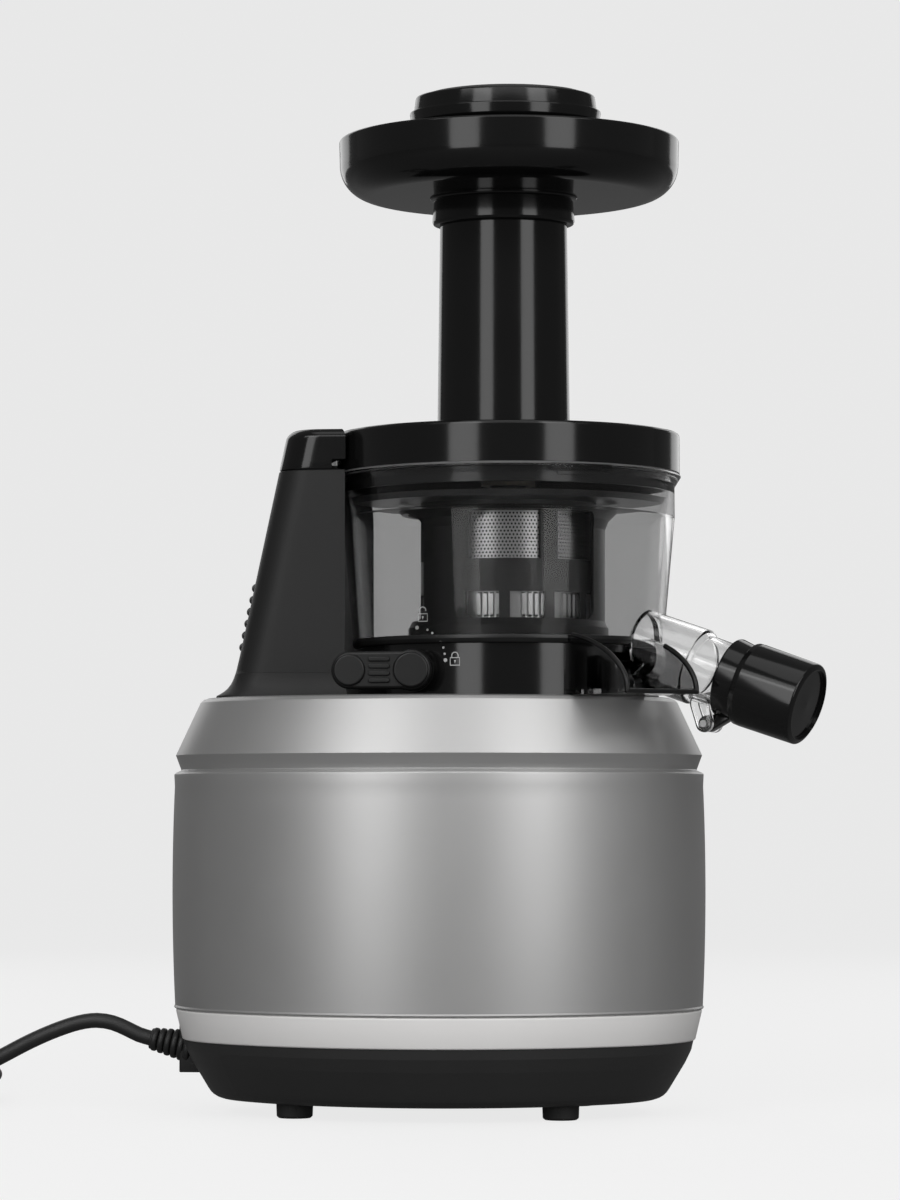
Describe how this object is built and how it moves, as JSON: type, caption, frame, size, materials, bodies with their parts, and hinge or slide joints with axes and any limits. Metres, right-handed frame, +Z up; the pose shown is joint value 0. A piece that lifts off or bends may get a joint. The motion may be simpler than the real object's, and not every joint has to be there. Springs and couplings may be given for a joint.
{
  "type": "cold press juicer",
  "caption": "Upright slow juicer: a silver oval motor base with a rear column, a smoke-tinted juicing drum with spout and pulp chute, and a tall feed tube with tray and pusher.",
  "frame": {"origin": "on the floor, under the middle of the object's box without its cord", "axes": "+X towards the juice spout, +Y away from the viewer of the picture, +Z up"},
  "size_m": [0.5005, 0.205, 0.435],
  "materials": {
    "body_silver": "satin silver paint",
    "band_grey": "light warm grey satin",
    "matte_black": "fine matte texture",
    "gloss_black": "polished",
    "satin_black": "satin",
    "foot_rubber": "matte",
    "steel": "bright",
    "sensor_grey": "moulded",
    "switch_grey": "satin",
    "lamination": "stacked sheet",
    "copper_wire": "enamelled wire",
    "cast_alloy": "as cast",
    "gear_nylon": "natural",
    "seal_silicone": "soft",
    "board_green": "lacquered",
    "cord_rubber": "moulded",
    "cord_sheath": "smooth satin",
    "smoke_clear": "smoke tinted, clear",
    "smoke_dark": "dark smoke tinted",
    "clear_plastic": "clear",
    "screen_grey": "satin",
    "steel_mesh": "perforated",
    "wiper_silicone": "translucent"
  },
  "bodies": {
    "machine": {"base_housing": "body_silver", "trim_band": "band_grey", "bottom_pan": "matte_black", "feet": "foot_rubber", "pan_screws": "steel", "top_deck": "matte_black", "column_housing": "matte_black", "column_cap": "gloss_black", "interlock_sensor": "sensor_grey", "switch_bezel": "satin_black", "motor_stator": "lamination", "motor_windings": "copper_wire", "motor_brackets": "cast_alloy", "motor_bearings": "steel", "gearbox_case": "cast_alloy", "gearbox_cover": "cast_alloy", "gearbox_screws": "steel", "idler_axle": "steel", "output_bearings": "steel", "shaft_seal": "seal_silicone", "circuit_board": "board_green", "strain_relief": "cord_rubber", "cord_lead": "cord_sheath", "cord_coil": "cord_sheath", "cord_tail": "cord_sheath", "cord_tie": "cord_rubber", "plug": "cord_rubber", "drum_base": "gloss_black", "drum_bowl": "smoke_clear", "pulp_packing": "seal_silicone", "pulp_chute": "smoke_dark", "juice_spout": "clear_plastic", "cap_hinge_pin": "steel", "lever_pin": "steel", "screen_frame": "screen_grey", "screen_mesh": "steel_mesh", "planet_pin": "steel"},
    "lid": {"lid": "gloss_black", "lid_gasket": "seal_silicone", "lid_bush": "gear_nylon", "lid_magnet": "steel", "feed_tube": "gloss_black", "hopper_tray": "gloss_black"},
    "pusher": {"pusher_cap": "gloss_black", "pusher_rod": "satin_black"},
    "drive": {"output_gear": "gear_nylon", "output_shaft": "steel", "screw": "satin_black"},
    "idler": {"idler_gear": "gear_nylon"},
    "rotor": {"rotor": "lamination", "cooling_fan": "satin_black"},
    "planet": {"planet_gear": "gear_nylon"},
    "brush": {"spinning_brush": "satin_black", "brush_wipers": "wiper_silicone"},
    "spout_cap": {"spout_cap": "gloss_black", "cap_seal": "seal_silicone"},
    "lever": {"pulp_lever": "satin_black"},
    "switch": {"switch_rocker": "switch_grey"}
  },
  "joints": [
    {"name": "lid_twist", "type": "hinge", "parent": "machine", "child": "lid", "pos_m": [0.00439, 0, 0.27], "axis": [0, 0, 1], "range_deg": [0, 45]},
    {"name": "pusher_slide", "type": "slide", "parent": "lid", "child": "pusher", "axis": [0, 0, 1], "range_m": [0, 0.095]},
    {"name": "screw_spin", "type": "hinge", "parent": "machine", "child": "drive", "pos_m": [0.00439, 0, 0.23], "axis": [0, 0, 1], "continuous": true},
    {"name": "idler_spin", "type": "hinge", "parent": "machine", "child": "idler", "pos_m": [-0.03372, 0.02393, 0.135], "axis": [0, 0, 1], "continuous": true},
    {"name": "rotor_spin", "type": "hinge", "parent": "machine", "child": "rotor", "pos_m": [-0.06061, 0, 0.08], "axis": [0, 0, 1], "continuous": true},
    {"name": "planet_spin", "type": "hinge", "parent": "machine", "child": "planet", "pos_m": [-0.0095, 0.01439, 0.203], "axis": [0, 0, 1], "continuous": true},
    {"name": "brush_spin", "type": "hinge", "parent": "machine", "child": "brush", "pos_m": [0.00439, 0, 0.225], "axis": [0, 0, 1], "continuous": true},
    {"name": "cap_swing", "type": "hinge", "parent": "machine", "child": "spout_cap", "pos_m": [0.09137, -0.03339, 0.16366], "axis": [0.3584, 0.9336, 0], "range_deg": [0, 80]},
    {"name": "lever_swing", "type": "hinge", "parent": "machine", "child": "lever", "pos_m": [-0.03011, -0.062, 0.1855], "axis": [0, 1, 0], "range_deg": [0, 80]},
    {"name": "switch_rock", "type": "hinge", "parent": "machine", "child": "switch", "pos_m": [-0.07957, 0.0365, 0.225], "axis": [1, 0, 0], "range_deg": [-12, 12]}
  ],
  "couplings": [
    {"joint": "idler_spin", "follows": "screw_spin", "ratio": -4},
    {"joint": "rotor_spin", "follows": "screw_spin", "ratio": 20},
    {"joint": "planet_spin", "follows": "screw_spin", "ratio": -1},
    {"joint": "brush_spin", "follows": "screw_spin", "ratio": -0.33333}
  ]
}
